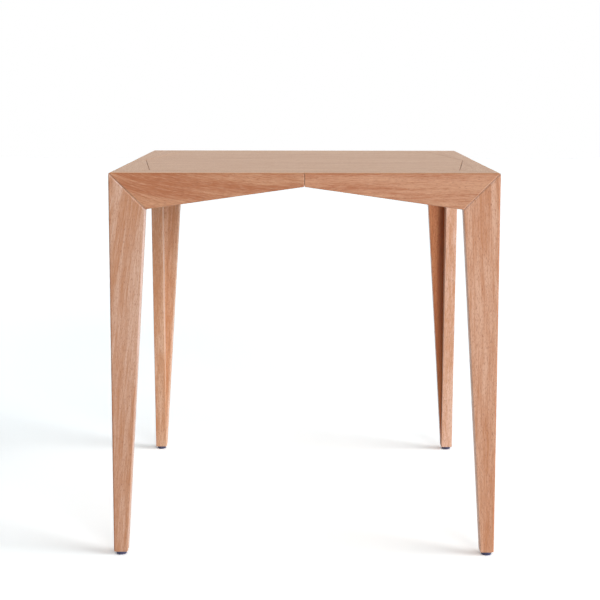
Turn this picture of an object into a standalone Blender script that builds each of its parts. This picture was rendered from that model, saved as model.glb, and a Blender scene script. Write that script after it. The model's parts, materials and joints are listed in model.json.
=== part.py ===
# Side table in solid wood: a cube frame of tapering boards round an eight-sided top panel.
# Metres, +Z up. The origin lies on the floor under the middle of the top, and the front faces -Y.

import math

import bmesh
import bpy
from mathutils import Matrix, Vector

X, Y, Z = 0, 1, 2

# Wooden body, outside sizes
WIDTH = 0.500
DEPTH = 0.500
WOOD_HEIGHT = 0.500

# Boards: every one is widest at its corner and tapers to its far end
BOARD_THICK = 0.018
CORNER_WIDTH = 0.047
FOOT_WIDTH = 0.018
APRON_END_WIDTH = 0.018
BORDER_END_WIDTH = 0.018

# Gap that a glue line or a hidden fit leaves between two pieces
GLUE_GAP = 0.0003

# Top panel, flush with the border boards, with a tongue all round
PANEL_THICK = 0.018
TONGUE_LENGTH = 0.004
TONGUE_THICK = 0.005
TONGUE_DEPTH = 0.005

# Splines, set across the mitre along every arris
SPLINE_WIDTH = 0.010
SPLINE_THICK = 0.004
SPLINE_SETBACK = 0.008
SPLINE_PLACE_SHARE = 0.6

# Loose tenons, one across each mitre of a corner
TENON_LENGTH = 0.020
TENON_WIDTH = 0.020
TENON_THICK = 0.006
TENON_PLACE_SHARE = 0.62
TENON_ROUND_SHARE = 0.48
TENON_ROUND_STEPS = 4

# Dowels, one across the butt joint at the middle of each side
DOWEL_DIAMETER = 0.006
DOWEL_LENGTH = 0.040
DOWEL_CHAMFER = 0.0008

# Glides, nailed under the feet
GLIDE_DIAMETER = 0.014
GLIDE_HEIGHT = 0.0045
GLIDE_CHAMFER = 0.0008
NAIL_DIAMETER = 0.0022
NAIL_LENGTH = 0.015
NAIL_POINT = 0.003
ROUND_STEPS = 24
SHARP_DEGREES = 30

# Corners by name, each with the side of the table that it lies on
CORNERS = {
    "front_left": (-1, -1),
    "front_right": (1, -1),
    "back_left": (-1, 1),
    "back_right": (1, 1),
}
SIDES_X = {-1: "left", 1: "right"}
SIDES_Y = {-1: "front", 1: "back"}

FOOT_LEVEL = GLIDE_HEIGHT + GLUE_GAP
TOP_LEVEL = FOOT_LEVEL + WOOD_HEIGHT
LEG_CORE = min(BOARD_THICK, FOOT_WIDTH)
RIM_CORE = min(BOARD_THICK, APRON_END_WIDTH, BORDER_END_WIDTH)
TENON_PLACE = CORNER_WIDTH * TENON_PLACE_SHARE
TENON_REACH = TENON_PLACE + (TENON_LENGTH + TENON_WIDTH) / 2 / math.sqrt(2)
SPLINE_START = TENON_REACH + SPLINE_SETBACK


def clear_scene():
    for obj in list(bpy.data.objects):
        bpy.data.objects.remove(obj, do_unlink=True)


def principled(name, color, roughness):
    material = bpy.data.materials.new(name)
    material.use_nodes = True
    shader = material.node_tree.nodes["Principled BSDF"]
    shader.inputs["Base Color"].default_value = (*color, 1.0)
    shader.inputs["Roughness"].default_value = roughness
    shader.inputs["Metallic"].default_value = 0.0
    return material


def unit(axis):
    return Vector([float(axis == other) for other in (X, Y, Z)])


def add_object(name, bm, material, location=(0, 0, 0)):
    """Turns a bmesh into a named object with its faces outwards."""
    bmesh.ops.recalc_face_normals(bm, faces=bm.faces)
    mesh = bpy.data.meshes.new(name)
    bm.to_mesh(mesh)
    bm.free()
    obj = bpy.data.objects.new(name, mesh)
    obj.location = location
    if material:
        mesh.materials.append(material)
    bpy.context.scene.collection.objects.link(obj)
    return obj


def as_cutter(obj):
    obj.hide_render = True
    obj.display_type = "WIRE"
    return obj


def cut(obj, cutters):
    for cutter in cutters:
        modifier = obj.modifiers.new("cut_" + cutter.name, "BOOLEAN")
        modifier.operation = "DIFFERENCE"
        modifier.object = cutter


def shade_round(obj):
    obj.data.shade_smooth()
    obj.data.set_sharp_from_angle(angle=math.radians(SHARP_DEGREES))


# Corner frame: lengths run inwards from the outer faces at one top corner


def corner_point(signs):
    return Vector((signs[X] * WIDTH / 2, signs[Y] * DEPTH / 2, TOP_LEVEL))


def to_corner(bm, signs):
    """Turns a shape measured inwards from the corner into the world's directions."""
    inwards = Matrix.Diagonal((-signs[X], -signs[Y], -1, 1))
    bmesh.ops.transform(bm, matrix=inwards, verts=bm.verts)


def box(size, centre=(0, 0, 0)):
    bm = bmesh.new()
    matrix = Matrix.Translation(centre) @ Matrix.Diagonal((*size, 1))
    bmesh.ops.create_cube(bm, size=1, matrix=matrix)
    return bm


def keep_behind(bm, point, normal):
    """Cuts a convex shape by a plane, drops what its normal points to and closes the cut."""
    geom = bm.verts[:] + bm.edges[:] + bm.faces[:]
    found = bmesh.ops.bisect_plane(bm, geom=geom, plane_co=point, plane_no=normal, clear_outer=True)
    edges = [item for item in found["geom_cut"] if isinstance(item, bmesh.types.BMEdge)]
    bmesh.ops.contextual_create(bm, geom=edges)


def add_board(name, signs, axes, run, end_width, end_gap, material):
    """One tapering board, mitred along its arris to its fold partner and at the corner to the next."""
    thick, wide, long = (unit(axis) for axis in axes)
    size = thick * BOARD_THICK + wide * max(CORNER_WIDTH, end_width) + long * (run - end_gap)
    bm = box(size, size / 2)
    arris_normal = (thick - wide).normalized()
    keep_behind(bm, -arris_normal * GLUE_GAP / 2, arris_normal)
    corner_normal = (wide - long).normalized()
    keep_behind(bm, -corner_normal * GLUE_GAP / 2, corner_normal)
    taper_start = (wide + long) * CORNER_WIDTH
    taper_normal = wide * (run - CORNER_WIDTH) + long * (CORNER_WIDTH - end_width)
    keep_behind(bm, taper_start, taper_normal)
    to_corner(bm, signs)
    return add_object(name, bm, material, corner_point(signs))


# Hidden joinery: each function makes the piece, or its pocket when it is given a clearance


def seat_across_mitre(bm, axes, centre, signs):
    """Lays a shape's X across the mitre between the first two axes, and its Z along the third."""
    first, second, third = axes
    turn = Matrix(((first - second).normalized(), (first + second).normalized(), third)).transposed()
    bmesh.ops.transform(bm, matrix=Matrix.Translation(centre) @ turn.to_4x4(), verts=bm.verts)
    to_corner(bm, signs)


def add_spline(name, signs, long_axis, core, end, material, clearance=0.0):
    """A strip across the mitre of two boards that share an arris along the given axis."""
    first, second = (unit(axis) for axis in (X, Y, Z) if axis != long_axis)
    long = unit(long_axis)
    sizes = (SPLINE_WIDTH, SPLINE_THICK, end - SPLINE_START)
    bm = box([size + 2 * clearance for size in sizes])
    centre = (first + second) * core * SPLINE_PLACE_SHARE + long * (SPLINE_START + end) / 2
    seat_across_mitre(bm, (first, second, long), centre, signs)
    return add_object(name, bm, material, corner_point(signs))


def add_tenon(name, signs, thick_axis, material, clearance=0.0):
    """A loose tenon across one corner mitre, with its long edges rounded."""
    first, second = (unit(axis) for axis in (X, Y, Z) if axis != thick_axis)
    thick = unit(thick_axis)
    length, width, depth = (size + 2 * clearance for size in (TENON_LENGTH, TENON_WIDTH, TENON_THICK))
    bm = box((length, width, depth))
    long_edges = [edge for edge in bm.edges if abs((edge.verts[1].co - edge.verts[0].co).x) > 0]
    bmesh.ops.bevel(
        bm, geom=long_edges, offset=depth * TENON_ROUND_SHARE, segments=TENON_ROUND_STEPS, profile=0.5,
        affect="EDGES",
    )
    centre = (first + second) * TENON_PLACE + thick * BOARD_THICK / 2
    seat_across_mitre(bm, (first, second, thick), centre, signs)
    return add_object(name, bm, material, corner_point(signs))


def turned(outline):
    """A solid of revolution about +Z, from points given as (radius, height), both ends on the axis."""
    bm = bmesh.new()
    points = [bm.verts.new((radius, 0, height)) for radius, height in outline]
    edges = [bm.edges.new(pair) for pair in zip(points, points[1:])]
    bmesh.ops.spin(
        bm, geom=points + edges, axis=unit(Z), cent=(0, 0, 0), angle=math.tau, steps=ROUND_STEPS,
        use_merge=True,
    )
    bmesh.ops.remove_doubles(bm, verts=bm.verts, dist=GLUE_GAP / 100)
    return bm


def add_dowel(name, along, centre, material, clearance=0.0):
    radius = DOWEL_DIAMETER / 2 + clearance
    half = DOWEL_LENGTH / 2 + clearance
    outline = [
        (0, -half), (radius - DOWEL_CHAMFER, -half), (radius, DOWEL_CHAMFER - half),
        (radius, half - DOWEL_CHAMFER), (radius - DOWEL_CHAMFER, half), (0, half),
    ]
    bm = turned(outline)
    turn = unit(Z).rotation_difference(unit(along)).to_matrix()
    bmesh.ops.transform(bm, matrix=turn.to_4x4(), verts=bm.verts)
    obj = add_object(name, bm, material, centre)
    shade_round(obj)
    return obj


def foot_centre(signs):
    return Vector((signs[X] * (WIDTH - LEG_CORE) / 2, signs[Y] * (DEPTH - LEG_CORE) / 2, 0))


def add_glide(name, signs, material):
    """A disc under the foot, with the nail that holds it."""
    radius = GLIDE_DIAMETER / 2
    nail = NAIL_DIAMETER / 2
    nail_end = GLIDE_HEIGHT + NAIL_LENGTH
    outline = [
        (0, 0), (radius - GLIDE_CHAMFER, 0), (radius, GLIDE_CHAMFER), (radius, GLIDE_HEIGHT),
        (nail, GLIDE_HEIGHT), (nail, nail_end - NAIL_POINT), (0, nail_end),
    ]
    obj = add_object(name, turned(outline), material, foot_centre(signs))
    shade_round(obj)
    return obj


def nail_hole(name, signs):
    radius = NAIL_DIAMETER / 2 + GLUE_GAP
    top = GLIDE_HEIGHT + NAIL_LENGTH + GLUE_GAP
    outline = [(0, GLIDE_HEIGHT), (radius, GLIDE_HEIGHT), (radius, top), (0, top)]
    return as_cutter(add_object(name, turned(outline), None, foot_centre(signs)))


# Top panel: its outline follows the inner edges of the border boards


def panel_outline(outset):
    """The eight corners of the border's inner edge, moved outwards by the given distance."""
    corner_x, corner_y = WIDTH / 2 - CORNER_WIDTH, DEPTH / 2 - CORNER_WIDTH
    middle_x, middle_y = WIDTH / 2 - BORDER_END_WIDTH, DEPTH / 2 - BORDER_END_WIDTH
    points = [
        Vector(point) for point in (
            (middle_x, 0), (corner_x, corner_y), (0, middle_y), (-corner_x, corner_y),
            (-middle_x, 0), (-corner_x, -corner_y), (0, -middle_y), (corner_x, -corner_y),
        )
    ]
    moved = []
    for i, point in enumerate(points):
        before = (point - points[i - 1]).normalized()
        after = (points[(i + 1) % len(points)] - point).normalized()
        normal_before = Vector((before.y, -before.x))
        normal_after = Vector((after.y, -after.x))
        share = 1 + normal_before.dot(normal_after)
        moved.append(point + (normal_before + normal_after) * outset / share)
    return moved


def panel_prism(outset, top, bottom):
    bm = bmesh.new()
    lower = bm.faces.new([bm.verts.new((point.x, point.y, bottom)) for point in panel_outline(outset)])
    raised = bmesh.ops.extrude_face_region(bm, geom=[lower])
    upper = [item for item in raised["geom"] if isinstance(item, bmesh.types.BMVert)]
    bmesh.ops.translate(bm, vec=(0, 0, top - bottom), verts=upper)
    return bm


def add_panel(name, material):
    panel = add_object(name, panel_prism(-GLUE_GAP, TOP_LEVEL, TOP_LEVEL - PANEL_THICK), material)
    top = TOP_LEVEL - TONGUE_DEPTH
    prism = panel_prism(TONGUE_LENGTH, top, top - TONGUE_THICK)
    tongue = as_cutter(add_object(name + "_tongue", prism, None))
    modifier = panel.modifiers.new("tongue", "BOOLEAN")
    modifier.operation = "UNION"
    modifier.object = tongue
    return panel


def panel_groove(name):
    top = TOP_LEVEL - TONGUE_DEPTH + GLUE_GAP
    bottom = TOP_LEVEL - TONGUE_DEPTH - TONGUE_THICK - GLUE_GAP
    return as_cutter(add_object(name, panel_prism(TONGUE_LENGTH + GLUE_GAP, top, bottom), None))


# Assembly


def add_leg(corner, signs, tenon_pockets, materials):
    """Two boards folded along the outer arris, their spline, and the glide under them."""
    side_y = SIDES_Y[signs[Y]]
    face = add_board(
        f"{corner}_leg_{side_y}_board", signs, (Y, X, Z), WOOD_HEIGHT, FOOT_WIDTH, 0, materials["leg"])
    side = add_board(
        f"{corner}_leg_side_board", signs, (X, Y, Z), WOOD_HEIGHT, FOOT_WIDTH, 0, materials["leg"])
    spline_end = WOOD_HEIGHT - NAIL_LENGTH - SPLINE_SETBACK
    add_spline(f"{corner}_leg_spline", signs, Z, LEG_CORE, spline_end, materials["joinery"])
    groove = as_cutter(
        add_spline(f"{corner}_leg_groove", signs, Z, LEG_CORE, spline_end, None, GLUE_GAP))
    hole = nail_hole(f"{corner}_nail_hole", signs)
    cut(face, [tenon_pockets[Y], groove, hole])
    cut(side, [tenon_pockets[X], groove, hole])
    add_glide(f"{corner}_glide", signs, materials["glide"])


def add_rim_half(corner, signs, run_axis, tenon_pockets, dowel_hole, groove, materials):
    """The apron and border boards from one corner to the middle of one side, and their spline."""
    out_axis = Y if run_axis == X else X
    side = (SIDES_X, SIDES_Y)[out_axis][signs[out_axis]]
    half = (SIDES_X, SIDES_Y)[run_axis][signs[run_axis]]
    run = (WIDTH, DEPTH)[run_axis] / 2
    apron = add_board(
        f"{side}_apron_{half}_half", signs, (out_axis, Z, run_axis), run, APRON_END_WIDTH, GLUE_GAP / 2,
        materials["apron"])
    border = add_board(
        f"{side}_border_{half}_half", signs, (Z, out_axis, run_axis), run, BORDER_END_WIDTH, GLUE_GAP / 2,
        materials["border"])
    spline_end = run - DOWEL_LENGTH / 2 - SPLINE_SETBACK
    add_spline(f"{side}_rim_{half}_spline", signs, run_axis, RIM_CORE, spline_end, materials["joinery"])
    spline_groove = as_cutter(
        add_spline(f"{side}_rim_{half}_groove", signs, run_axis, RIM_CORE, spline_end, None, GLUE_GAP))
    cut(apron, [tenon_pockets[out_axis], spline_groove, dowel_hole, groove])
    cut(border, [tenon_pockets[Z], spline_groove, dowel_hole, groove])


def add_corner_tenons(corner, signs, materials):
    """Three loose tenons, and the pockets that take them, by the axis of their thickness."""
    faces = {X: "side", Y: SIDES_Y[signs[Y]], Z: "top"}
    pockets = {}
    for axis, face in faces.items():
        add_tenon(f"{corner}_{face}_tenon", signs, axis, materials["joinery"])
        pockets[axis] = as_cutter(add_tenon(f"{corner}_{face}_pocket", signs, axis, None, GLUE_GAP))
    return pockets


def add_side_dowels(materials):
    """One dowel per side, and the holes that take them, by axis and sign of the side."""
    holes = {}
    for axis, names, reach in ((X, SIDES_X, WIDTH), (Y, SIDES_Y, DEPTH)):
        for sign, side in names.items():
            centre = unit(axis) * sign * (reach - RIM_CORE) / 2 + unit(Z) * (TOP_LEVEL - RIM_CORE / 2)
            along = Y if axis == X else X
            add_dowel(f"{side}_rim_dowel", along, centre, materials["joinery"])
            holes[axis, sign] = as_cutter(
                add_dowel(f"{side}_rim_dowel_hole", along, centre, None, GLUE_GAP))
    return holes


def build():
    clear_scene()
    materials = {
        "leg": principled("leg_wood", (0.61, 0.34, 0.21), 0.45),
        "apron": principled("apron_wood", (0.52, 0.25, 0.14), 0.45),
        "border": principled("border_wood", (0.56, 0.38, 0.28), 0.42),
        "panel": principled("panel_wood", (0.58, 0.41, 0.30), 0.42),
        "joinery": principled("joinery_wood", (0.66, 0.50, 0.33), 0.6),
        "glide": principled("glide_plastic", (0.06, 0.07, 0.09), 0.5),
    }
    add_panel("tabletop_panel", materials["panel"])
    groove = panel_groove("panel_groove")
    dowel_holes = add_side_dowels(materials)
    for corner, signs in CORNERS.items():
        pockets = add_corner_tenons(corner, signs, materials)
        add_leg(corner, signs, pockets, materials)
        for run_axis, out_axis in ((X, Y), (Y, X)):
            hole = dowel_holes[out_axis, signs[out_axis]]
            add_rim_half(corner, signs, run_axis, pockets, hole, groove, materials)


build()
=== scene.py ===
# Square side table in solid wood: mitred boards with tapering legs and aprons,
# and a flush eight-sided panel in the top.

import json
import math
import bmesh
import bpy
from mathutils import Matrix, Vector

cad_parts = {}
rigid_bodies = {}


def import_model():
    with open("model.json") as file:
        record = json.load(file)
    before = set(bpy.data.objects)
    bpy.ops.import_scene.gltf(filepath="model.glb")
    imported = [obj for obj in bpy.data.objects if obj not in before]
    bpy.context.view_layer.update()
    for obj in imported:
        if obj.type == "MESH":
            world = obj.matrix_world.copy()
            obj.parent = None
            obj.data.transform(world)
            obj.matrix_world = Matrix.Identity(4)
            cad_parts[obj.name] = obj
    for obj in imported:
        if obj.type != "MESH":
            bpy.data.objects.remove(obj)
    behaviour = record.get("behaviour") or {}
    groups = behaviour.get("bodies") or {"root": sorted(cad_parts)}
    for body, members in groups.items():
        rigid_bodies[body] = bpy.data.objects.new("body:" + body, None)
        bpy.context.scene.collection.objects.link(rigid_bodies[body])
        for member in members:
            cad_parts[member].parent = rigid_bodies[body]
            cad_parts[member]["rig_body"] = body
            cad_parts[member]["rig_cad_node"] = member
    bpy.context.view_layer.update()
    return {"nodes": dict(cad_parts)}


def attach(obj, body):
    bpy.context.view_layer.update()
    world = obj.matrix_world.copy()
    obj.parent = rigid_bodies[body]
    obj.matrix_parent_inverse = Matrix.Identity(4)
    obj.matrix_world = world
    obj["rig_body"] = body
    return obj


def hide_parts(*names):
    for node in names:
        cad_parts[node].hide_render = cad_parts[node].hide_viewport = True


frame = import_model()
print("frame loaded,", len(frame["nodes"]), "nodes")


# The table's main sizes, in metres

table = {
    "side": 0.500,
    "top": 0.5048,          # height of the top above the floor
    "thick": 0.018,         # every board and the panel
    "cornerWidth": 0.047,   # a board's width at the corner of the frame
    "endWidth": 0.018,      # and at the foot or in the middle of a side
}


# Small tools for selecting and cutting in edit mode

near = 0.00001    # closer than this counts as the same place
weld = 0.000001   # points closer than this are merged


def same(value, other):
    return abs(value - other) < near


def deselectAll():
    bpy.ops.object.select_all(action="DESELECT")


def makeActive(piece):
    deselectAll()
    piece.select_set(True)
    bpy.context.view_layer.objects.active = piece


def addBlock(name, low, high):
    deselectAll()
    bpy.ops.mesh.primitive_cube_add(size=1, location=(Vector(low) + Vector(high)) / 2)
    block = bpy.context.object
    block.name = name
    block.scale = Vector(high) - Vector(low)
    bpy.ops.object.transform_apply(location=True, rotation=True, scale=True)
    return block


def pickEdges(mesh, test):
    bpy.ops.mesh.select_mode(type="EDGE")
    bpy.ops.mesh.select_all(action="DESELECT")
    work = bmesh.from_edit_mesh(mesh)
    for edge in work.edges:
        edge.select_set(test(edge.verts[0].co, edge.verts[1].co))
    bmesh.update_edit_mesh(mesh)


def pickFaces(mesh, test):
    bpy.ops.mesh.select_mode(type="FACE")
    bpy.ops.mesh.select_all(action="DESELECT")
    work = bmesh.from_edit_mesh(mesh)
    for face in work.faces:
        face.select_set(test(face.calc_center_median()))
    bmesh.update_edit_mesh(mesh)


def cutOff(point, outward):
    # removes what lies beyond the plane and closes the cut
    bpy.ops.mesh.select_all(action="SELECT")
    bpy.ops.mesh.bisect(
        plane_co=point, plane_no=Vector(outward).normalized(), use_fill=True,
        clear_outer=True, threshold=weld)


def roundEdges(width, segments):
    bpy.ops.mesh.bevel(offset=width, segments=segments, profile=0.5, affect="EDGES")


def mergeDoubles():
    bpy.ops.mesh.select_all(action="SELECT")
    bpy.ops.mesh.remove_doubles(threshold=weld)


def finishMesh(piece, angle=24):
    # normals outwards, smooth over the roundings, flat faces kept flat
    makeActive(piece)
    bpy.ops.object.mode_set(mode="EDIT")
    bpy.ops.mesh.select_all(action="SELECT")
    bpy.ops.mesh.normals_make_consistent(inside=False)
    bpy.ops.object.mode_set(mode="OBJECT")
    bpy.ops.object.shade_smooth_by_angle(angle=math.radians(angle))
    weighted = piece.modifiers.new("flat faces", "WEIGHTED_NORMAL")
    weighted.keep_sharp = True
    bpy.ops.object.modifier_apply(modifier=weighted.name)


def dress(piece, material):
    piece.data.materials.clear()
    piece.data.materials.append(material)


def placePiece(piece, slotName, *nodes):
    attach(piece, "root")
    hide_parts(*nodes)


# Small tools for building materials; place is a node's place in the editor

noiseRange = (0.3, 0.7)   # most of a noise lies in here


def newMaterial(name):
    material = bpy.data.materials.new(name)
    material.use_nodes = True
    return material, material.node_tree


def plug(tree, socket, value):
    # a socket is linked, a plain value is set
    if isinstance(value, bpy.types.NodeSocket):
        tree.links.new(value, socket)
    else:
        socket.default_value = value


def addNode(tree, kind, place, **settings):
    node = tree.nodes.new(kind)
    node.location = place
    for name, value in settings.items():
        setattr(node, name, value)
    return node


def feed(tree, node, **values):
    # spaces in a socket's name are written _
    for name, value in values.items():
        plug(tree, node.inputs[name.replace("_", " ")], value)
    return node


def sums(tree, place, operation, first, second=0.0, third=0.0, clamp=False):
    node = addNode(tree, "ShaderNodeMath", place, operation=operation, use_clamp=clamp)
    for socket, value in zip(node.inputs, (first, second, third)):
        plug(tree, socket, value)
    return node.outputs[0]


def vectorOf(tree, place, x, y, z):
    node = addNode(tree, "ShaderNodeCombineXYZ", place)
    return feed(tree, node, X=x, Y=y, Z=z).outputs[0]


def partsOf(tree, place, vector):
    node = addNode(tree, "ShaderNodeSeparateXYZ", place)
    return feed(tree, node, Vector=vector).outputs


def noiseOf(tree, place, vector, scale, detail, roughness):
    node = addNode(tree, "ShaderNodeTexNoise", place)
    feed(tree, node, Vector=vector, Scale=scale, Detail=detail, Roughness=roughness)
    return node.outputs["Fac"]


def remap(tree, place, value, fromLow, fromHigh, toLow=0.0, toHigh=1.0, smooth=False):
    node = addNode(tree, "ShaderNodeMapRange", place)
    if smooth:
        node.interpolation_type = "SMOOTHSTEP"
    feed(tree, node, Value=value, From_Min=fromLow, From_Max=fromHigh, To_Min=toLow, To_Max=toHigh)
    return node.outputs["Result"]


def blendColours(tree, place, share, first, second, how="MIX"):
    node = addNode(tree, "ShaderNodeMix", place, data_type="RGBA", blend_type=how)
    for number, value in ((0, share), (6, first), (7, second)):   # the sockets that a colour mix uses
        plug(tree, node.inputs[number], value)
    return node.outputs[2]


def reliefOf(tree, place, height, strength, distance):
    node = addNode(tree, "ShaderNodeBump", place)
    return feed(tree, node, Height=height, Strength=strength, Distance=distance).outputs[0]


def endWithEither(tree, kind, share, first, second):
    # ends a material or a world with two shaders, the second one where share is 1
    either = addNode(tree, "ShaderNodeMixShader", (50, 50))
    for socket, value in zip(either.inputs, (share, first.outputs[0], second.outputs[0])):
        plug(tree, socket, value)
    feed(tree, addNode(tree, kind, (250, 50)), Surface=either.outputs[0])


# Wood, in one node group that every board's material uses

sawnWood = {
    # layers of noise: how fine, and how much the way through and along the board counts
    "layers": {
        "wander": {"scale": 16, "through": 1.0, "along": 0.40, "detail": 2, "roughness": 0.50},
        "wide": {"scale": 75, "through": 0.7, "along": 0.05, "detail": 2, "roughness": 0.55},
        "narrow": {"scale": 300, "through": 0.7, "along": 0.05, "detail": 2, "roughness": 0.60},
        "fibre": {"scale": 1000, "through": 1.0, "along": 0.03, "detail": 2, "roughness": 0.60},
        "dash": {"scale": 900, "through": 1.0, "along": 0.10, "detail": 1, "roughness": 0.50},
        "pore": {"scale": 1900, "through": 1.0, "along": 0.13, "detail": 1, "roughness": 0.50},
        "fleck": {"scale": 800, "through": 1.0, "along": 0.10, "detail": 1, "roughness": 0.50},
        "cloud": {"scale": 55, "through": 1.0, "along": 0.45, "detail": 3, "roughness": 0.60},
    },
    # the part of a layer's range over which it comes in
    "shows": {"wide": (0.36, 0.64), "narrow": (0.34, 0.66), "fleck": (0.58, 0.74), "pore": (0.56, 0.70)},
    "wandering": 0.008,                  # how far the grain strays sideways, in metres
    "logSteps": (0.713, 1.937, 3.371),   # the way through the log for each whole seed
    "cornerShadeEdge": (0.034, 0.022),         # where the painted shade toward the inner corner begins and is full, from the arris
    "heart": (0.58, 0.43, 0.10, 1),      # painted shade of the inner corner; this and the next two multiply the wood's colour
    # the outer roundings, darker and more orange
    "darkRounding": (0.91, 0.82, 0.73, 1),
    # painted highlight on chamfers, inner roundings, tapering edges and inner faces
    "paintedHighlight": (1.28, 1.85, 2.60, 1),
    "poreDulling": 0.14,                 # added to the roughness
    "dashDulling": 0.10,
    "dashHeight": 0.6,                   # beside a pore's depth of 1
    "reliefDepth": 0.0002,
    "refraction": 1.45,
}


def makeGrainGroup():
    # Place is the board's own space: x through it, y across it, z along it, in metres
    group = bpy.data.node_groups.new("sawn board", "ShaderNodeTree")
    for kind, names in (
        ("NodeSocketVector", ("Place",)),
        ("NodeSocketColor", ("Tint", "Light Wood", "Dark Wood", "Pore Wood", "Fleck Wood")),
        ("NodeSocketFloat", (
            "Seed", "Slant", "Straighten", "Tone", "Bands", "Fibres", "Dashes", "Mottle", "Pores",
            "Flecks", "Rounding", "Heart", "Polish")),
    ):
        for name in names:
            group.interface.new_socket(name=name, in_out="INPUT", socket_type=kind)
    for name, kind in (
        ("Color", "NodeSocketColor"), ("Roughness", "NodeSocketFloat"), ("Height", "NodeSocketFloat"),
    ):
        group.interface.new_socket(name=name, in_out="OUTPUT", socket_type=kind)

    given = addNode(group, "NodeGroupInput", (-2200, 0)).outputs
    through, across, along = partsOf(group, (-2000, 200), given["Place"])

    def times(place, value, factor):
        return sums(group, place, "MULTIPLY", value, factor)

    def around(place, value, factor, base):
        # base + (value - 0.5) * factor, as a noise lies around 0.5
        apart = sums(group, (place[0] - 150, place[1]), "SUBTRACT", value, 0.5)
        return sums(group, place, "MULTIPLY_ADD", apart, factor, base)

    # every board is sawn from another place in the log
    log = vectorOf(group, (-1800, -200), *(
        times((-1950, -200 - 100 * row), given["Seed"], step)
        for row, step in enumerate(sawnWood["logSteps"])))

    def layerOf(name, place, sideways):
        layer = sawnWood["layers"][name]
        x, y = place
        point = vectorOf(
            group, (x - 400, y), times((x - 550, y), through, layer["through"]), sideways,
            times((x - 550, y - 50), along, layer["along"]))
        moved = addNode(group, "ShaderNodeVectorMath", (x - 200, y), operation="ADD")
        plug(group, moved.inputs[0], point)
        plug(group, moved.inputs[1], log)
        return noiseOf(group, place, moved.outputs[0], layer["scale"], layer["detail"], layer["roughness"])

    def shown(place, name, value, smooth=True):
        return remap(group, place, value, *sawnWood["shows"][name], smooth=smooth)

    # the grain leans by the board's slant and runs straight further on: (1 - e^(-k z)) / k
    faded = sums(group, (-1800, 450), "EXPONENT", times((-1950, 450), along, times(
        (-2100, 450), given["Straighten"], -1.0)))
    reach = sums(group, (-1500, 450), "DIVIDE", sums(
        group, (-1650, 450), "SUBTRACT", 1.0, faded), given["Straighten"])
    lean = sums(group, (-1350, 400), "MULTIPLY_ADD", reach, given["Slant"], across)
    wander = layerOf("wander", (-1350, 600), across)
    leaning = around((-1200, 500), wander, sawnWood["wandering"], lean)
    wide, narrow, fibre, dash, pore, fleck = (
        layerOf(name, (-600, 500 - 120 * row), leaning)
        for row, name in enumerate(("wide", "narrow", "fibre", "dash", "pore", "fleck")))
    cloud = layerOf("cloud", (-600, -220), across)

    # colour, from the wide bands down to the pores
    darkness = 0.5
    for row, (value, strength) in enumerate((
        (shown((-400, 500), "wide", wide), given["Bands"]),
        (shown((-400, 350), "narrow", narrow, smooth=False), times((-200, 250), given["Bands"], 0.5)),
        (fibre, given["Fibres"]),
        (dash, given["Dashes"]),
        (cloud, given["Mottle"]),
    )):
        darkness = around((-150 + 110 * row, 500 - 40 * row), value, strength, darkness)
    darkness = sums(group, (450, 350), "ADD", darkness, given["Tone"], clamp=True)
    colour = blendColours(group, (600, 300), darkness, given["Light Wood"], given["Dark Wood"])
    fleckMask = shown((-400, -100), "fleck", fleck)
    colour = blendColours(
        group, (750, 250), times((600, 0), fleckMask, given["Flecks"]), colour, given["Fleck Wood"])
    poreMask = shown((-400, 50), "pore", pore)
    colour = blendColours(
        group, (900, 200), times((750, 0), poreMask, given["Pores"]), colour, given["Pore Wood"])

    # the board's tint, painted shade toward its inner corner, the outer roundings darker and more orange
    # where Rounding is above zero, and a painted highlight where Rounding is below zero
    heart = times((900, 500), given["Heart"], remap(
        group, (750, 500), across, *sawnWood["cornerShadeEdge"], smooth=True))
    darkRounding = sums(group, (900, -50), "MAXIMUM", given["Rounding"], 0.0)
    paintedHighlight = sums(group, (900, -200), "MULTIPLY", given["Rounding"], -1.0, clamp=True)
    for row, (share, tint) in enumerate((
        (1.0, given["Tint"]), (heart, sawnWood["heart"]),
        (darkRounding, sawnWood["darkRounding"]), (paintedHighlight, sawnWood["paintedHighlight"]),
    )):
        colour = blendColours(group, (1050 + 130 * row, 200), share, colour, tint, "MULTIPLY")

    roughness = sums(group, (600, -200), "MULTIPLY_ADD", poreMask, sawnWood["poreDulling"], given["Polish"])
    roughness = sums(group, (750, -200), "MULTIPLY_ADD", dash, sawnWood["dashDulling"], roughness)
    height = sums(
        group, (750, -350), "MULTIPLY_ADD", poreMask, -1.0, times((600, -350), dash, sawnWood["dashHeight"]))
    result = addNode(group, "NodeGroupOutput", (1650, 0))
    feed(group, result, Color=colour, Roughness=roughness, Height=height)
    return group


grainGroup = makeGrainGroup()


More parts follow.
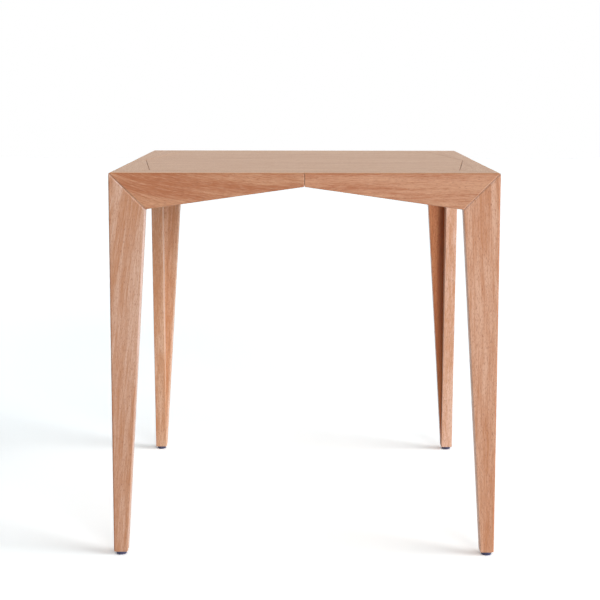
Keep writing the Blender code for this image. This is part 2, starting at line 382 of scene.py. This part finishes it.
def makeWood(name, look):
    material, tree = newMaterial(name)
    # each board carries its own space and look as attributes
    kept = {
        attribute: addNode(tree, "ShaderNodeAttribute", (-900, 300 - 200 * row), attribute_name=attribute)
        for row, attribute in enumerate((
            "boardPlace", "boardLook", "boardTint", "boardRounding", "boardHeart"))}
    seed, slant, tone = partsOf(tree, (-700, 100), kept["boardLook"].outputs["Vector"])
    grain = addNode(tree, "ShaderNodeGroup", (-500, 100), node_tree=grainGroup)
    feed(
        tree, grain, Place=kept["boardPlace"].outputs["Vector"], Seed=seed, Slant=slant, Tone=tone,
        Straighten=look["straighten"], Tint=kept["boardTint"].outputs["Color"],
        Rounding=kept["boardRounding"].outputs["Fac"], Light_Wood=look["light"],
        Dark_Wood=look["dark"], Pore_Wood=look["pore"], Fleck_Wood=look["fleck"],
        Bands=look["bands"], Fibres=look["fibres"], Dashes=look["dashes"], Mottle=look["mottle"],
        Pores=look["pores"], Flecks=look["flecks"], Heart=kept["boardHeart"].outputs["Fac"],
        Polish=look["polish"])
    relief = reliefOf(tree, (-250, -200), grain.outputs["Height"], look["relief"], sawnWood["reliefDepth"])
    feed(
        tree, tree.nodes["Principled BSDF"], Base_Color=grain.outputs["Color"],
        Roughness=grain.outputs["Roughness"], Normal=relief, IOR=sawnWood["refraction"])
    return material


# One look for each kind of board; what differs from board to board is further down

topWood = {
    "light": (0.745, 0.447, 0.262, 1), "dark": (0.58, 0.28, 0.128, 1),
    "pore": (0.31, 0.14, 0.068, 1), "fleck": (0.69, 0.46, 0.285, 1),
    "bands": 0.3, "fibres": 1.1, "dashes": 1.5, "pores": 0.4,
    "straighten": 1.0, "relief": 0.3, "polish": 0.38,
}
woodLooks = {
    "legWood": {
        "light": (0.60, 0.36, 0.26, 1), "dark": (0.46, 0.20, 0.10, 1),
        "pore": (0.33, 0.13, 0.07, 1), "fleck": (0.68, 0.46, 0.35, 1),
        "bands": 0.6, "fibres": 1.9, "dashes": 0.9, "mottle": 0.3, "pores": 0.9, "flecks": 0.2,
        "straighten": 1.5, "relief": 0.3, "polish": 0.32,
    },
    "apronWood": {
        "light": (0.56, 0.30, 0.18, 1), "dark": (0.39, 0.136, 0.057, 1),
        "pore": (0.27, 0.10, 0.05, 1), "fleck": (0.68, 0.43, 0.30, 1),
        "bands": 0.55, "fibres": 1.3, "dashes": 1.3, "mottle": 0.3, "pores": 0.5, "flecks": 0.3,
        "straighten": 9.0, "relief": 0.3, "polish": 0.35,
    },
    "borderWood": dict(topWood, mottle=0.5, flecks=0.25),
    "panelWood": dict(topWood, mottle=0.7, flecks=0.3),
}
woods = {name: makeWood(name, look) for name, look in woodLooks.items()}
print("wood materials made")


# Bare wood of the joinery inside, on the CAD nodes as they are

joinery = {
    "light": (0.72, 0.56, 0.38, 1),
    "dark": (0.52, 0.36, 0.21, 1),
    "coarse": 300,              # how fine the two layers of grain are
    "fine": 1800,
    "along": 0.12,              # how much they are drawn out
    "relief": 0.3,
    "reliefDepth": 0.0002,
    "roughness": (0.68, 0.82),
}


def makeJoineryWood():
    material, tree = newMaterial("joineryWood")
    place = addNode(tree, "ShaderNodeTexCoord", (-1000, 0))
    stretched = addNode(tree, "ShaderNodeMapping", (-800, 0))
    feed(tree, stretched, Vector=place.outputs["Object"], Scale=(1.0, 1.0, joinery["along"]))
    grain = stretched.outputs[0]
    coarse = noiseOf(tree, (-600, 100), grain, joinery["coarse"], detail=3, roughness=0.6)
    fine = noiseOf(tree, (-600, -100), grain, joinery["fine"], detail=2, roughness=0.6)
    share = sums(tree, (-400, 0), "MULTIPLY_ADD", fine, 0.5, sums(tree, (-450, 100), "MULTIPLY", coarse, 0.5))
    feed(
        tree, tree.nodes["Principled BSDF"],
        Base_Color=blendColours(tree, (-200, 100), share, joinery["light"], joinery["dark"]),
        Normal=reliefOf(tree, (-200, -200), fine, joinery["relief"], joinery["reliefDepth"]),
        Roughness=remap(tree, (-200, -50), coarse, *noiseRange, *joinery["roughness"]))
    return material


joineryWood = makeJoineryWood()
joineryNodes = [name for name in frame["nodes"] if name.endswith(("_spline", "_tenon", "_dowel"))]
for name in joineryNodes:
    dress(frame["nodes"][name], joineryWood)
print("joinery dressed,", len(joineryNodes), "nodes")


# The boards. One of each kind is modelled in its own space, x through the board, y across it
# from the outer arris, z along it from the frame's corner.

board = {
    "arrisRadius": 0.0022,   # outer corner, half of it on each board
    "footRadius": 0.0010,
    "steps": 4,              # in a rounding
    "arrisGap": 0.00004,     # from a board's edge to the middle of the joint
    "mitreGap": 0.000075,
    "spare": 0.01,           # what the cuts take off a block
}

# edgeRadius is the tapering edge's. A groove is the chamfer beside a joint, its width and depth.
boardKinds = {
    "leg": {
        "length": table["side"], "edgeRadius": 0.0013, "seamGap": 0.0,
        "mitreGroove": (0.0014, 0.0010), "seamGroove": None},
    "apron": {
        "length": table["side"] / 2, "edgeRadius": 0.0013, "seamGap": 0.00022,
        "mitreGroove": (0.0014, 0.0010), "seamGroove": (0.0008, 0.0005)},
    "border": {
        "length": table["side"] / 2, "edgeRadius": 0.0006, "seamGap": 0.00008,
        "mitreGroove": (0.0006, 0.0004), "seamGroove": (0.0006, 0.0004)},
}
root = math.sqrt(2)


def mitreSlope(wide, deep):
    return Vector((-wide, deep / root, -deep / root))


def seamSlope(wide, deep):
    return Vector((-wide, 0, deep))


def modelBoard(name, length, edgeRadius, seamGap, mitreGroove, seamGroove):
    thick, corner, end = table["thick"], table["cornerWidth"], table["endWidth"]
    spare = board["spare"]
    piece = addBlock(name, (0, 0, -spare), (thick, corner + 2 * spare, length + spare))
    bpy.ops.object.mode_set(mode="EDIT")
    mesh = piece.data

    # the tapering edge
    run = Vector((0, end - corner, length - corner)).normalized()
    cutOff((0, corner, corner), (0, run.z, -run.y))

    def onTaper(point):
        return same((point.y - corner) * run.z, (point.z - corner) * run.y)

    def onArris(point):
        return same(point.x, 0) and same(point.y, 0)

    def onMitre(point):
        return abs(point.x - point.y) < 2 * board["arrisGap"]

    # long edges rounded before the ends are cut, so that every cut is clean
    pickEdges(mesh, lambda a, b: onArris(a) and onArris(b))
    roundEdges(board["arrisRadius"], 2 * board["steps"])
    pickEdges(mesh, lambda a, b: onTaper(a) and onTaper(b) and same(a.x, b.x) and abs(a.z - b.z) > length / 2)
    roundEdges(edgeRadius, board["steps"])

    # mitre along the outer arris, mitre at the corner, and the straight end
    cutOff((0, board["arrisGap"] * root, 0), (1, -1, 0))
    cutOff((0, 0, board["mitreGap"] * root), (0, 1, -1))
    last = length - seamGap
    cutOff((0, 0, last), (0, 0, 1))

    # a chamfer along the mitre, and one at the seam or a softened foot
    cutOff((0, 0, (mitreGroove[0] + board["mitreGap"]) * root), mitreSlope(*mitreGroove))
    if seamGroove:
        cutOff((0, 0, last - seamGroove[0]), seamSlope(*seamGroove))
    else:
        pickEdges(mesh, lambda a, b: same(a.z, last) and same(b.z, last) and not (onMitre(a) and onMitre(b)))
        roundEdges(board["footRadius"], board["steps"])
    mergeDoubles()
    bpy.ops.object.mode_set(mode="OBJECT")
    return piece


patterns = {kind: modelBoard(f"{kind}BoardPattern", **sizes) for kind, sizes in boardKinds.items()}
print("board patterns modelled")


# The eight-sided panel, in place: a block cut by eight planes, with a tongue all round

panel = {
    "gap": 0.0005,
    "chamfer": 0.0007,
    "chamferSteps": 3,
    "tongueLength": 0.004,
    "tongueThick": 0.005,
    "tongueDepth": 0.005,   # from the top down to the tongue
}


def modelPanel(name, grow=0.0, bevelled=True):
    half = table["side"] / 2
    top = table["top"]
    piece = addBlock(name, (-half, -half, top - table["thick"] - grow), (half, half, top + grow))
    bpy.ops.object.mode_set(mode="EDIT")
    mesh = piece.data
    cornerPlace = half - table["cornerWidth"]
    middlePlace = half - table["endWidth"]
    inset = panel["gap"] - grow
    for quarter in range(4):
        turned = Matrix.Rotation(math.radians(90 * quarter), 3, "Z")
        for side in (1, -1):
            first = Vector((middlePlace, 0, 0))
            second = Vector((cornerPlace, side * cornerPlace, 0))
            along = (second - first).normalized()
            outward = Vector((abs(along.y), side * abs(along.x), 0))
            cutOff(turned @ (first - outward * inset), turned @ outward)

    # the tongue grows from a band between two level cuts
    tongueTop = top - panel["tongueDepth"] + grow
    tongueBottom = top - panel["tongueDepth"] - panel["tongueThick"] - grow
    for level in (tongueTop, tongueBottom):
        bpy.ops.mesh.select_all(action="SELECT")
        bpy.ops.mesh.bisect(plane_co=(0, 0, level), plane_no=(0, 0, 1))
    pickFaces(mesh, lambda centre: tongueBottom < centre.z < tongueTop)
    bpy.ops.mesh.extrude_region_shrink_fatten(
        TRANSFORM_OT_shrink_fatten={"value": panel["tongueLength"] + inset + grow, "use_even_offset": True})
    if bevelled:
        pickEdges(mesh, lambda a, b: same(a.z, b.z) and (
            same(a.z, top) or same(a.z, top - table["thick"])))
        roundEdges(panel["chamfer"], panel["chamferSteps"])
    bpy.ops.object.mode_set(mode="OBJECT")
    return piece


panelPiece = modelPanel("tabletopPanel")
print("panel modelled")


# Cutters for the joints, from copies of the joinery nodes and a slightly larger panel

jointRoom = 0.00012   # left free round what goes into a board


def makeJointCutter():
    deselectAll()
    for name in joineryNodes:
        copy = frame["nodes"][name].copy()
        copy.data = copy.data.copy()
        copy.parent = None
        bpy.context.scene.collection.objects.link(copy)
        copy.select_set(True)
        bpy.context.view_layer.objects.active = copy
    bpy.ops.object.join()
    cutter = bpy.context.object
    cutter.name = "jointCutter"
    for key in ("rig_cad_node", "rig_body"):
        if key in cutter:
            del cutter[key]
    bpy.ops.object.mode_set(mode="EDIT")
    mergeDoubles()
    bpy.ops.mesh.normals_make_consistent(inside=False)
    bpy.ops.transform.shrink_fatten(value=jointRoom, use_even_offset=True)
    bpy.ops.object.mode_set(mode="OBJECT")
    return cutter


jointCutter = makeJointCutter()
panelCutter = modelPanel("panelCutter", jointRoom, False)


def carve(piece, cutter):
    makeActive(piece)
    cut = piece.modifiers.new("joint", "BOOLEAN")
    cut.operation = "DIFFERENCE"
    cut.solver = "EXACT"
    cut.object = cutter
    bpy.ops.object.modifier_apply(modifier=cut.name)


# Glides under the feet, each one turned disc with its nail

glide = {
    "radius": 0.007,
    "height": 0.0045,
    "sides": 64,
    "rounding": 0.0010,        # of the rim on the floor
    "roundingSteps": 5,
    "upperRounding": 0.0004,   # and of the rim under the foot
    "upperSteps": 3,
    "nailRadius": 0.0011,
    "nailLength": 0.015,
    "nailPoint": 0.003,        # the last part of it
    "stepInset": 0.0014,       # a shallow step in the underside
    "stepWidth": 0.0003,
    "stepDepth": 0.0002,
    "holeSides": 30,
    "holeRoom": 0.0003,        # how much deeper than the nail its hole is
    "holeStart": 0.0027,       # how far below the foot its cutter starts
    "dark": (0.022, 0.022, 0.060, 1),
    "light": (0.050, 0.050, 0.110, 1),
    "clouds": 900,             # how fine the two layers of its surface are
    "grit": 5200,
    "relief": 0.25,
    "reliefDepth": 0.0001,
    "roughness": (0.42, 0.58),
}


def modelGlide(name):
    deselectAll()
    bpy.ops.mesh.primitive_cylinder_add(
        vertices=glide["sides"], radius=glide["radius"], depth=glide["height"],
        location=(0, 0, glide["height"] / 2))
    piece = bpy.context.object
    piece.name = name
    bpy.ops.object.transform_apply(location=True, rotation=True, scale=True)
    bpy.ops.object.mode_set(mode="EDIT")
    mesh = piece.data
    for level, radius, steps in (
        (0, glide["rounding"], glide["roundingSteps"]),
        (glide["height"], glide["upperRounding"], glide["upperSteps"]),
    ):
        pickEdges(mesh, lambda a, b: same(a.z, level) and same(b.z, level))
        roundEdges(radius, steps)

    # the nail rises from the middle of the upper face
    pickFaces(mesh, lambda centre: same(centre.z, glide["height"]))
    faceRadius = glide["radius"] - glide["upperRounding"]
    bpy.ops.mesh.inset(thickness=faceRadius - glide["nailRadius"], use_even_offset=True)
    for rise in (glide["nailLength"] - glide["nailPoint"], glide["nailPoint"]):
        bpy.ops.mesh.extrude_region_move(TRANSFORM_OT_translate={"value": (0, 0, rise)})
    bpy.ops.mesh.merge(type="CENTER")
    # and the step goes into the underside
    pickFaces(mesh, lambda centre: same(centre.z, 0))
    bpy.ops.mesh.inset(thickness=glide["stepInset"], use_even_offset=True)
    bpy.ops.mesh.inset(thickness=glide["stepWidth"], depth=-glide["stepDepth"], use_even_offset=True)
    bpy.ops.object.mode_set(mode="OBJECT")
    return piece


def makeGlidePlastic():
    material, tree = newMaterial("glidePlastic")
    place = addNode(tree, "ShaderNodeTexCoord", (-900, 0)).outputs["Object"]
    clouds = noiseOf(tree, (-700, 100), place, glide["clouds"], detail=3, roughness=0.6)
    grit = noiseOf(tree, (-700, -100), place, glide["grit"], detail=2, roughness=0.5)
    share = remap(tree, (-550, 100), clouds, *noiseRange)
    feed(
        tree, tree.nodes["Principled BSDF"],
        Base_Color=blendColours(tree, (-450, 100), share, glide["dark"], glide["light"]),
        Normal=reliefOf(tree, (-300, -200), grit, glide["relief"], glide["reliefDepth"]),
        Roughness=remap(tree, (-450, -50), clouds, *noiseRange, *glide["roughness"]))
    return material


glidePlastic = makeGlidePlastic()
glidePattern = modelGlide("glidePattern")
print("glide modelled")


# Putting every board in its place

cornerSides = {
    "front_left": (-1, -1),
    "front_right": (1, -1),
    "back_left": (-1, 1),
    "back_right": (1, 1),
}
patternCorner = cornerSides["front_left"]   # where one board of each kind is cut for its joints

# How much a painted highlight pales the chamfers beside the joints, and the roundings inside
highlightPaleness = {
    "leg": {"mitre": 0.26, "seam": 0.0, "rounding": 0.15},
    "apron": {"mitre": 0.38, "seam": 0.20, "rounding": 0.0},
    "border": {"mitre": 0.0, "seam": 0.0, "rounding": 0.0},
    "panel": {"mitre": 0.0, "seam": 0.0, "rounding": 0.0},
}

# What single boards show: place in the log, slant of the grain, darker or lighter, colour,
# a painted highlight on the inner face or tapering edge, painted shade toward the inner corner, outer face
# left plain
boardLooks = {
    # a painted highlight on this board's tapering edge
    "front_left_leg_front_board": {
        "seed": 50.33, "slant": 0.15, "tone": 0.10, "tint": (1.00, 1.05, 1.06), "edgeHighlight": 0.25},
    "front_right_leg_front_board": {
        "seed": 64.42, "slant": 0.04, "tone": 0.00, "tint": (1.08, 1.05, 0.985)},
    "front_apron_left_half": {
        "seed": 48.18, "slant": -0.42, "tone": 0.10, "tint": (0.985, 0.955, 0.895)},
    "front_apron_right_half": {
        "seed": 38.68, "slant": -0.03, "tone": -0.10, "tint": (1.01, 0.965, 0.925)},
    # the back legs' tints stay off their outer faces and change only the faces seen from the front: partly
    # the boards' own tone, partly painted light
    "back_left_leg_back_board": {
        "seed": 8.2, "slant": 0.05, "tone": 0.00, "tint": (1.14, 1.20, 1.13), "plainOuter": True},
    # a painted highlight on this board's inner face
    "back_left_leg_side_board": {
        "seed": 9.9, "slant": 0.02, "tone": 0.10, "tint": (1.12, 1.19, 1.14), "faceHighlight": 0.85,
        "plainOuter": True},
    # this board's tint is painted shade, deeper orange on the faces seen from the front, with more painted
    # shade toward the inner corner
    "back_right_leg_back_board": {
        "seed": 3.5, "slant": -0.04, "tone": 0.15, "tint": (1.03, 0.70, 0.40), "heart": 1.0,
        "plainOuter": True},
    "back_right_leg_side_board": {
        "seed": 6.4, "slant": 0.03, "tone": -0.10, "tint": (1.30, 1.42, 1.49), "plainOuter": True},
    "tabletop_panel": {"seed": 11.9, "slant": 0.0, "tone": 0.0},
}

# The other boards come one after another out of the log, with small slants and tones by turns
otherBoards = {"firstSeed": 7.3, "seedStep": 2.61, "slantStep": 0.04, "toneStep": 0.03}
plainTint = (1.0, 1.0, 1.0)

# The cosine from which a face counts as looking one way
facing = {
    "flat": 0.985,    # along an axis
    "slope": 0.999,   # as a chamfer beside a joint does
    "edge": 0.9,      # as the tapering edge does
    "outer": 0.5,     # outwards, with some of the roundings
    "arris": 0.1,     # toward the next board round the arris
}


def boardLook(node, number=0):
    look = {
        "seed": otherBoards["firstSeed"] + otherBoards["seedStep"] * number,
        "slant": otherBoards["slantStep"] * (number % 3 - 1),
        "tone": otherBoards["toneStep"] * (number % 4 - 1.5),
        "tint": plainTint, "faceHighlight": 0.0, "edgeHighlight": 0.0, "heart": 0.0, "plainOuter": False}
    look.update(boardLooks.get(node, {}))
    return look


def cleanName(node):
    words = node.split("_")
    return words[0] + "".join(word.capitalize() for word in words[1:])


def boardMatrix(sides, axes):
    # from the pattern's space to the table's: axes names where x, y and z of the pattern go
    matrix = Matrix.Identity(4)
    inward = (Vector((-sides[0], 0, 0)), Vector((0, -sides[1], 0)), Vector((0, 0, -1)))
    for column, axis in enumerate(axes):
        for row in range(3):
            matrix[row][column] = inward["XYZ".index(axis)][row]
    half = table["side"] / 2
    matrix.translation = Vector((sides[0] * half, sides[1] * half, table["top"]))
    return matrix


def markBoard(piece, look, kind, matrix=Matrix.Identity(4)):
    # keeps each point's place in its own board, and for each face its tint, its painted shade toward the
    # inner corner, and how much it is painted paler as a highlight or darker on the outer roundings
    mesh = piece.data
    back = matrix.inverted()
    for name in ("boardPlace", "boardLook"):
        mesh.attributes.new(name, "FLOAT_VECTOR", "POINT")
    mesh.attributes.new("boardTint", "FLOAT_VECTOR", "FACE")
    for name in ("boardHeart", "boardRounding"):
        mesh.attributes.new(name, "FLOAT", "FACE")
    kept = mesh.attributes   # looked up by name only once all of them are there
    for vertex in mesh.vertices:
        kept["boardPlace"].data[vertex.index].vector = back @ vertex.co
        kept["boardLook"].data[vertex.index].vector = (look["seed"], look["slant"], look["tone"])
    pale = highlightPaleness[kind]
    # the borders' chamfers face nearly the same ways as the aprons'
    apron = boardKinds["apron"]
    slopes = (
        (mitreSlope(*apron["mitreGroove"]).normalized(), pale["mitre"]),
        (seamSlope(*apron["seamGroove"]).normalized(), pale["seam"]))
    for face in mesh.polygons:
        normal = back.to_3x3() @ face.normal
        arris = normal.y < -facing["arris"]
        # a level below zero is a painted highlight on the inner face, the tapering edge, the inner roundings
        # and the chamfers beside the joints; 1 makes the outer roundings darker and more orange
        if normal.x > facing["flat"]:
            level = -look["faceHighlight"]
        elif max(map(abs, normal)) > facing["flat"]:
            level = -look["edgeHighlight"] if normal.y > facing["edge"] else 0.0
        else:
            level = 1.0 if arris else -pale["rounding"] - look["edgeHighlight"] / 2
        for slope, amount in slopes:
            if normal.dot(slope) > facing["slope"]:
                level = -amount
        # on the back legs the tint and the painted shade stay off the outer face and arris
        plain = look["plainOuter"] and (normal.x < -facing["outer"] or arris)
        kept["boardTint"].data[face.index].vector = plainTint if plain else look["tint"]
        kept["boardHeart"].data[face.index].value = 0.0 if plain else look["heart"]
        kept["boardRounding"].data[face.index].value = level


def footPlace(sides, height=0.0):
    inset = table["side"] / 2 - table["endWidth"] / 2
    return sides[0] * inset, sides[1] * inset, height


def makeNailCutter():
    deselectAll()
    top = glide["height"] + glide["nailLength"] + glide["holeRoom"]
    depth = glide["nailLength"] + glide["holeRoom"] + glide["holeStart"]
    bpy.ops.mesh.primitive_cylinder_add(
        vertices=glide["holeSides"], radius=glide["nailRadius"] + jointRoom, depth=depth,
        location=footPlace(patternCorner, top - depth / 2))
    bpy.ops.object.transform_apply(location=True, rotation=True, scale=True)
    return bpy.context.object


def carvePattern(kind, axes, *cutters):
    # the pattern is put in place, cut for its joints and taken back
    piece = patterns[kind]
    matrix = boardMatrix(patternCorner, axes)
    piece.data.transform(matrix)
    finishMesh(piece)
    for cutter in cutters:
        carve(piece, cutter)
    piece.data.transform(matrix.inverted())
    finishMesh(piece)


def copyPattern(pattern, node):
    piece = pattern.copy()
    piece.data = pattern.data.copy()
    piece.name = cleanName(node)
    bpy.context.scene.collection.objects.link(piece)
    return piece


def addBoard(node, kind, sides, axes, number):
    piece = copyPattern(patterns[kind], node)
    markBoard(piece, boardLook(node, number), kind)
    piece.data.transform(boardMatrix(sides, axes))
    dress(piece, woods[f"{kind}Wood"])
    finishMesh(piece)
    placePiece(piece, f"{kind}_wood", node)


def addGlide(node, sides):
    piece = copyPattern(glidePattern, node)
    piece.data.transform(Matrix.Translation(footPlace(sides)))
    dress(piece, glidePlastic)
    finishMesh(piece, angle=40)
    placePiece(piece, "glide_plastic", node)


nailCutter = makeNailCutter()
carvePattern("leg", "YXZ", jointCutter, nailCutter)
carvePattern("apron", "YZX", jointCutter)
carvePattern("border", "ZYX", jointCutter, panelCutter)
print("joints cut")

count = 0
for corner, sides in cornerSides.items():
    across, side = corner.split("_")
    for node, kind, axes in (
        (f"{corner}_leg_{across}_board", "leg", "YXZ"),
        (f"{corner}_leg_side_board", "leg", "XYZ"),
        (f"{across}_apron_{side}_half", "apron", "YZX"),
        (f"{side}_apron_{across}_half", "apron", "XZY"),
        (f"{across}_border_{side}_half", "border", "ZYX"),
        (f"{side}_border_{across}_half", "border", "ZXY"),
    ):
        addBoard(node, kind, sides, axes, count)
        count += 1
    addGlide(f"{corner}_glide", sides)
print("boards and glides in place,", count, "boards")

# the panel's own x goes down from the top, y to the back and z to the right
panelMatrix = Matrix(((0, 0, 1, 0), (0, 1, 0, 0), (-1, 0, 0, table["top"]), (0, 0, 0, 1)))
markBoard(panelPiece, boardLook("tabletop_panel"), "panel", panelMatrix)
dress(panelPiece, woods["panelWood"])
finishMesh(panelPiece)
placePiece(panelPiece, "panel_wood", "tabletop_panel")

for helper in (*patterns.values(), glidePattern, jointCutter, panelCutter, nailCutter):
    bpy.data.objects.remove(helper)
print("panel in place, helpers removed")


# Floor, light and camera

floor = {
    "reach": 8.0,
    "colour": (0.86, 0.86, 0.86, 1),
    "seen": (1.70, 1.80, 1.84, 1),   # the same floor as the camera sees it, white with clear shadows
}


def makeFloor():
    deselectAll()
    bpy.ops.mesh.primitive_plane_add(size=2 * floor["reach"], location=(0, 0, 0))
    sheet = bpy.context.object
    sheet.name = "studioFloor"
    material, tree = newMaterial("studioFloorPaint")
    tree.nodes.clear()
    paint = feed(tree, addNode(tree, "ShaderNodeBsdfDiffuse", (-400, -100)), Color=floor["colour"])
    seenPaint = feed(tree, addNode(tree, "ShaderNodeBsdfDiffuse", (-400, 100)), Color=floor["seen"])
    path = addNode(tree, "ShaderNodeLightPath", (-600, 300)).outputs
    looking = sums(tree, (-400, 400), "MAXIMUM", path["Is Camera Ray"], path["Is Glossy Ray"])
    looking = sums(tree, (-250, 400), "MAXIMUM", looking, path["Is Transmission Ray"])
    endWithEither(tree, "ShaderNodeOutputMaterial", looking, paint, seenPaint)
    dress(sheet, material)


studioLight = {
    "backdrop": 0.45,             # even light from behind, as a white backdrop gives
    "backdropEdge": (-0.3, 0.6),  # where it begins and is full, as y of a direction
    "room": 0.57,                 # from the room on the camera's side
    "ceiling": 0.15,              # and from above
    "ceilingEdge": (0.4, 0.9),    # as z of a direction
    "wall": 0.30,                 # added by a white wall to the right
    "wallEdge": (0.4, 0.9),       # as x of a direction
    "mirrorEdge": (-0.8, -0.2),   # where a polished face begins to show the backdrop, as y
    "front": {"azimuth": 23, "height": 12, "softness": 30, "power": 1.22},
    "side": {"azimuth": 75, "height": 14, "softness": 40, "power": 2.5},
}


def addLamp(name, lamp):
    # azimuth is to the right of the camera's side, height above the floor, both in degrees
    deselectAll()
    bpy.ops.object.light_add(type="SUN", location=(0, 0, 2))
    light = bpy.context.object
    light.name = name
    light.data.energy = lamp["power"]
    light.data.angle = math.radians(lamp["softness"])
    azimuth, height = math.radians(lamp["azimuth"]), math.radians(lamp["height"])
    source = Vector((
        math.sin(azimuth) * math.cos(height), -math.cos(azimuth) * math.cos(height), math.sin(height)))
    light.rotation_euler = source.to_track_quat("Z", "Y").to_euler()


def makeWorld():
    world = bpy.data.worlds.new("studio")
    bpy.context.scene.world = world
    world.use_nodes = True
    tree = world.node_tree
    tree.nodes.clear()
    path = addNode(tree, "ShaderNodeLightPath", (-600, 200)).outputs
    direction = addNode(tree, "ShaderNodeTexCoord", (-1000, -100)).outputs["Generated"]
    right, behind, above = partsOf(tree, (-800, -100), direction)
    # a polished face shows the white backdrop, and the darker room only from the camera's side
    looking = sums(tree, (-600, 400), "MAXIMUM", path["Is Glossy Ray"], path["Is Transmission Ray"])
    looking = sums(tree, (-450, 400), "MULTIPLY", looking, remap(
        tree, (-600, 550), behind, *studioLight["mirrorEdge"], smooth=True))
    looking = sums(tree, (-250, 200), "MAXIMUM", looking, path["Is Camera Ray"])
    level = remap(
        tree, (-600, -50), behind, *studioLight["backdropEdge"],
        studioLight["room"], studioLight["backdrop"], smooth=True)
    wall = remap(
        tree, (-600, 50), right, *studioLight["wallEdge"], 0.0, studioLight["wall"], smooth=True)
    level = sums(tree, (-450, 0), "ADD", level, wall)
    upwards = remap(tree, (-600, -300), above, *studioLight["ceilingEdge"], smooth=True)
    change = sums(tree, (-450, -250), "SUBTRACT", studioLight["ceiling"], level)
    strength = sums(tree, (-300, -100), "MULTIPLY_ADD", change, upwards, level)
    room, white = (
        feed(tree, addNode(tree, "ShaderNodeBackground", place), Color=(1, 1, 1, 1), Strength=value)
        for place, value in (((-200, -100), strength), ((-200, 50), 1.0)))
    endWithEither(tree, "ShaderNodeOutputWorld", looking, room, white)


# found by fitting the table's edges to the photograph
camera = {
    "place": (-0.0008, -1.8673, 0.6256),
    "tilt": 6.581,     # degrees down
    "turn": 0.168,     # degrees to the left
    "roll": 0.071,
    "sensor": 36,
    "lens": 76.54,
    "shift": -0.126,
}


def addCamera():
    deselectAll()
    bpy.ops.object.camera_add(location=camera["place"])
    view = bpy.context.object
    view.name = "photoCamera"
    view.data.sensor_width = camera["sensor"]
    view.data.lens = camera["lens"]
    view.data.shift_y = camera["shift"]
    turned = Matrix.Rotation(math.radians(camera["turn"]), 3, "Z")
    tilted = Matrix.Rotation(math.radians(90 - camera["tilt"]), 3, "X")
    rolled = Matrix.Rotation(math.radians(camera["roll"]), 3, "Z")
    view.rotation_euler = (turned @ tilted @ rolled).to_euler()
    bpy.context.scene.camera = view


makeFloor()
makeWorld()
addLamp("frontLight", studioLight["front"])
addLamp("sideLight", studioLight["side"])
addCamera()
bpy.context.scene.view_settings.view_transform = "Standard"
deselectAll()
print("floor, light and camera set")
